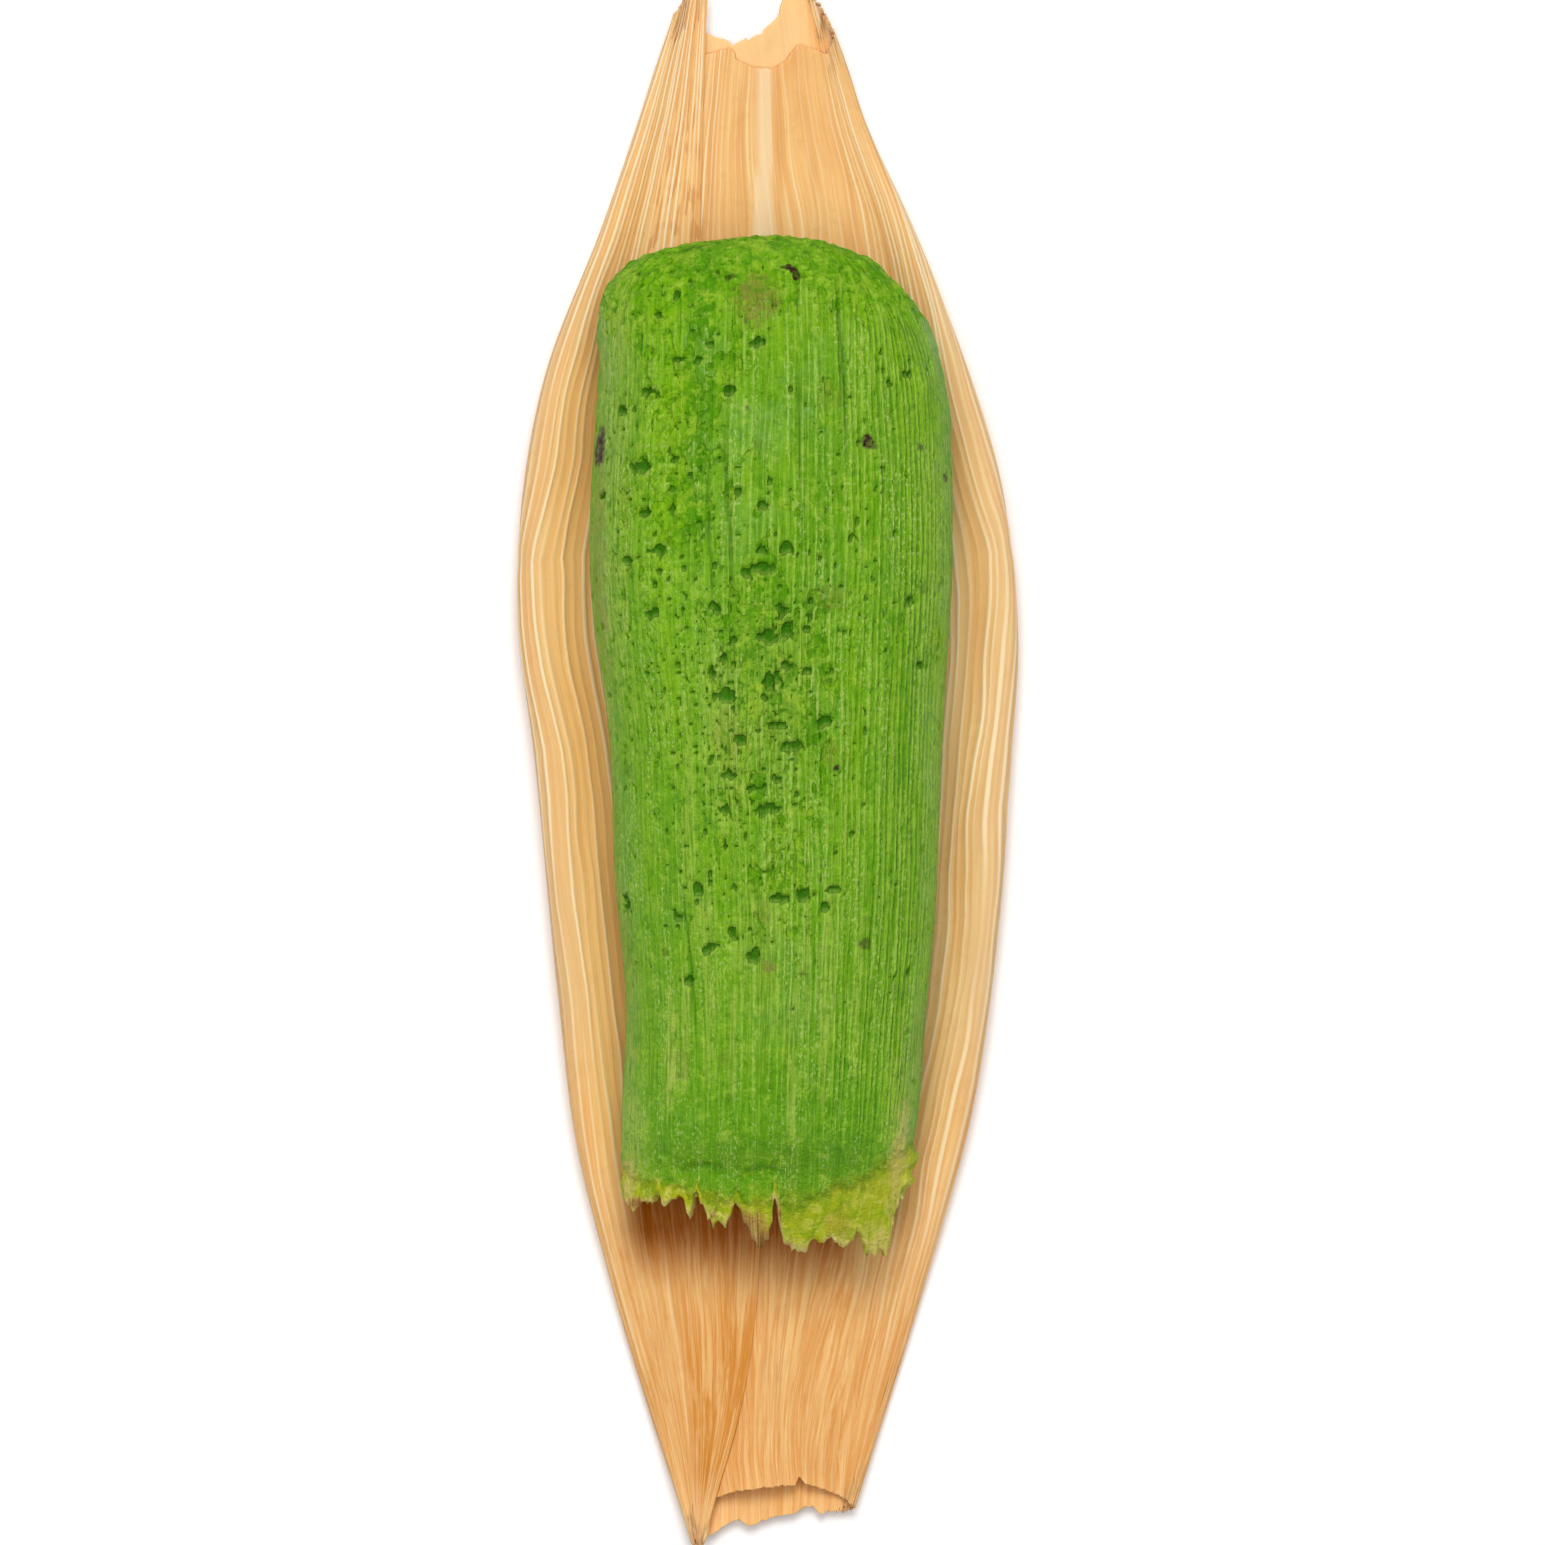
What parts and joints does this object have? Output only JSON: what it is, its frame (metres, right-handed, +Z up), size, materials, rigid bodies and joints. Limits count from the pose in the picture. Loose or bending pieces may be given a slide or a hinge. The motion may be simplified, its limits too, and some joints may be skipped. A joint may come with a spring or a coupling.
{
  "type": "tamale",
  "caption": "Unwrapped steamed tamale: a green corn-dough loaf with a rounded head and a torn foot, lying on its folded corn husk leaf",
  "frame": {"origin": "bottom centre of the bounding box: on the table, under the middle of the husk leaf", "axes": "+Y along the leaf from the torn foot of the dough to its rounded head; +X to the right, the side whose leaf edge lies under the flap; +Z up"},
  "size_m": [0.0604, 0.1897, 0.0278],
  "materials": {
    "husk": "dry straw-coloured corn husk with raised cream veins and fine fibres along the leaf",
    "masa": "moist lime-green steamed corn dough, finely ribbed along its length, with small pits and dark flecks"
  },
  "bodies": {
    "root": {"husk": "husk", "masa": "masa"}
  },
  "joints": []
}
